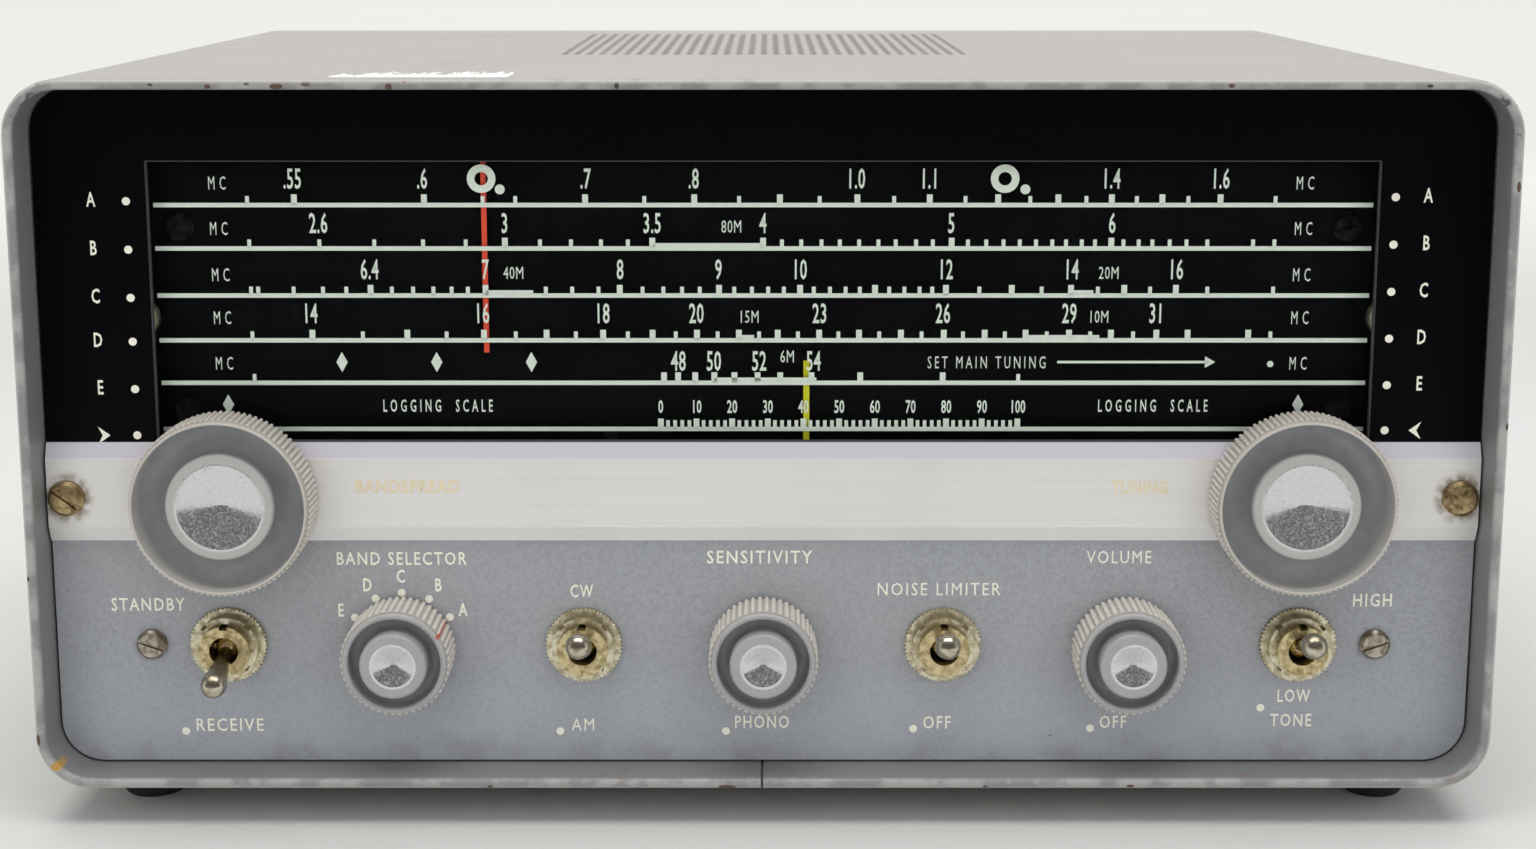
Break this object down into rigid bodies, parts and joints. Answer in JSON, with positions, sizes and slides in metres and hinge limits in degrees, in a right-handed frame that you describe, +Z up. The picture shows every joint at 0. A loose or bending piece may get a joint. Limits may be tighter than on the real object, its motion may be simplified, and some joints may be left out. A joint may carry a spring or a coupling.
{
  "type": "communications receiver",
  "caption": "Table-top communications receiver: rounded steel cabinet with top grille, recessed panel with slide-rule dial, cord-driven pointers, fluted knobs and toggle switches.",
  "frame": {"origin": "centre of the footprint, on the plane that the feet stand on", "axes": "+X to the right as seen from the front, +Y from the front towards the back, +Z up"},
  "size_m": [0.34, 0.2365, 0.175],
  "materials": {
    "cabinet_grey": "satin light grey enamel",
    "foot_rubber": "matte black",
    "panel_paint": "blue-grey hammertone below, black above",
    "cover_paint": "satin grey enamel",
    "trim_metal": "worn satin",
    "screw_steel": "plated",
    "screw_brass": "tarnished",
    "clear_glass": "clear",
    "dial_black": "matte black",
    "plated_steel": "cadmium plated",
    "brass": "dull",
    "cord_fabric": "waxed woven cord",
    "gang_metal": "matte",
    "phenolic": "dark brown",
    "pot_can": "plated",
    "nickel": "tarnished nickel",
    "tube_glass": "clear",
    "can_aluminium": "drawn",
    "transformer_black": "black enamel",
    "coil_wax": "waxed copper winding",
    "speaker_paint": "grey enamel",
    "cone_paper": "pressed paper",
    "knob_grey": "grey with worn cream flute tips",
    "knob_cap": "spun",
    "shaft_steel": "turned",
    "pointer_red": "red orange",
    "pointer_yellow": "yellow",
    "lever_nickel": "tarnished nickel"
  },
  "bodies": {
    "receiver": {"cabinet": "cabinet_grey", "grille": "cabinet_grey", "feet": "foot_rubber", "case_screws": "screw_steel", "rear_cover": "cover_paint", "front_panel": "panel_paint", "trim_strip": "trim_metal", "front_screws": "screw_brass", "dial_glass": "clear_glass", "dial_plate": "dial_black", "dial_plate_screws": "screw_brass", "side_brackets": "plated_steel", "chassis": "plated_steel", "spindle_bushings": "brass", "spindle_brackets": "plated_steel", "drive_studs": "brass", "main_cord": "cord_fabric", "bandspread_cord": "cord_fabric", "tuning_gang": "gang_metal", "bandspread_gang": "gang_metal", "band_switch": "phenolic", "potentiometers": "pot_can", "nuts": "nickel", "toggle_switches": "phenolic", "tubes": "tube_glass", "tube_sockets": "phenolic", "if_cans": "can_aluminium", "transformers": "transformer_black", "filter_capacitor": "can_aluminium", "coils": "coil_wax", "speaker_frame": "speaker_paint", "speaker_cone": "cone_paper", "antenna_terminals": "plated_steel", "phones_jack": "pot_can", "cord_grommet": "foot_rubber", "dial_lamps": "tube_glass"},
    "tuning_control": {"tuning_knob": "knob_grey", "tuning_knob_cap": "knob_cap", "tuning_spindle": "shaft_steel"},
    "bandspread_control": {"bandspread_knob": "knob_grey", "bandspread_knob_cap": "knob_cap", "bandspread_spindle": "shaft_steel"},
    "main_pointer": {"main_pointer": "pointer_red"},
    "bandspread_pointer": {"bandspread_pointer": "pointer_yellow"},
    "main_drum": {"main_drum": "brass"},
    "tuning_gang_rotor": {"tuning_gang_rotor": "gang_metal"},
    "bandspread_rotor": {"bandspread_rotor": "gang_metal"},
    "band_selector": {"band_knob": "knob_grey", "band_knob_cap": "knob_cap", "band_switch_rotor": "shaft_steel"},
    "sensitivity_control": {"sensitivity_knob": "knob_grey", "sensitivity_knob_cap": "knob_cap", "sensitivity_shaft": "shaft_steel"},
    "volume_control": {"volume_knob": "knob_grey", "volume_knob_cap": "knob_cap", "volume_shaft": "shaft_steel"},
    "standby_lever": {"standby_lever": "lever_nickel"},
    "mode_lever": {"mode_lever": "lever_nickel"},
    "limiter_lever": {"limiter_lever": "lever_nickel"},
    "tone_lever": {"tone_lever": "lever_nickel"}
  },
  "joints": [
    {"name": "tuning_turn", "type": "hinge", "parent": "receiver", "child": "tuning_control", "pos_m": [0.1247, -0.09, 0.077], "axis": [0, 1, 0], "range_deg": [-774.93, 2628.44]},
    {"name": "bandspread_turn", "type": "hinge", "parent": "receiver", "child": "bandspread_control", "pos_m": [-0.1247, -0.09, 0.077], "axis": [0, 1, 0], "range_deg": [-492.74, 710.47]},
    {"name": "main_pointer_slide", "type": "slide", "parent": "receiver", "child": "main_pointer", "axis": [1, 0, 0], "range_m": [-0.05411, 0.18351]},
    {"name": "bandspread_pointer_slide", "type": "slide", "parent": "receiver", "child": "bandspread_pointer", "axis": [1, 0, 0], "range_m": [-0.03441, 0.04961]},
    {"name": "main_drum_turn", "type": "hinge", "parent": "receiver", "child": "main_drum", "pos_m": [0.0609, -0.08, 0.113], "axis": [0, 1, 0], "range_deg": [-81.98, 278.04]},
    {"name": "tuning_gang_turn", "type": "hinge", "parent": "receiver", "child": "tuning_gang_rotor", "pos_m": [0.035, -0.05, 0.088], "axis": [0, 1, 0], "range_deg": [-139.03, 40.99]},
    {"name": "bandspread_gang_turn", "type": "hinge", "parent": "receiver", "child": "bandspread_rotor", "pos_m": [-0.072, -0.07, 0.106], "axis": [0, 1, 0], "range_deg": [-73.72, 106.3]},
    {"name": "band_turn", "type": "hinge", "parent": "receiver", "child": "band_selector", "pos_m": [-0.0855, -0.09, 0.04], "axis": [0, 1, 0], "range_deg": [0, 120]},
    {"name": "sensitivity_turn", "type": "hinge", "parent": "receiver", "child": "sensitivity_control", "pos_m": [0, -0.09, 0.04], "axis": [0, 1, 0], "range_deg": [-10, 290]},
    {"name": "volume_turn", "type": "hinge", "parent": "receiver", "child": "volume_control", "pos_m": [0.0855, -0.09, 0.04], "axis": [0, 1, 0], "range_deg": [-10, 290]},
    {"name": "standby_throw", "type": "hinge", "parent": "receiver", "child": "standby_lever", "pos_m": [-0.1264, -0.1025, 0.0409], "axis": [1, 0, 0], "range_deg": [-35, 0]},
    {"name": "mode_throw", "type": "hinge", "parent": "receiver", "child": "mode_lever", "pos_m": [-0.0424, -0.1025, 0.0409], "axis": [1, 0, 0], "range_deg": [0, 35]},
    {"name": "limiter_throw", "type": "hinge", "parent": "receiver", "child": "limiter_lever", "pos_m": [0.0424, -0.1025, 0.0409], "axis": [1, 0, 0], "range_deg": [0, 35]},
    {"name": "tone_throw", "type": "hinge", "parent": "receiver", "child": "tone_lever", "pos_m": [0.1264, -0.1025, 0.0409], "axis": [1, 0, 0], "range_deg": [0, 35]}
  ],
  "couplings": [
    {"joint": "main_pointer_slide", "follows": "tuning_turn", "m_per_rad": 0.004},
    {"joint": "main_drum_turn", "follows": "tuning_turn", "ratio": 0.10578},
    {"joint": "tuning_gang_turn", "follows": "tuning_turn", "ratio": -0.052889},
    {"joint": "bandspread_pointer_slide", "follows": "bandspread_turn", "m_per_rad": 0.004},
    {"joint": "bandspread_gang_turn", "follows": "bandspread_turn", "ratio": 0.1496}
  ]
}
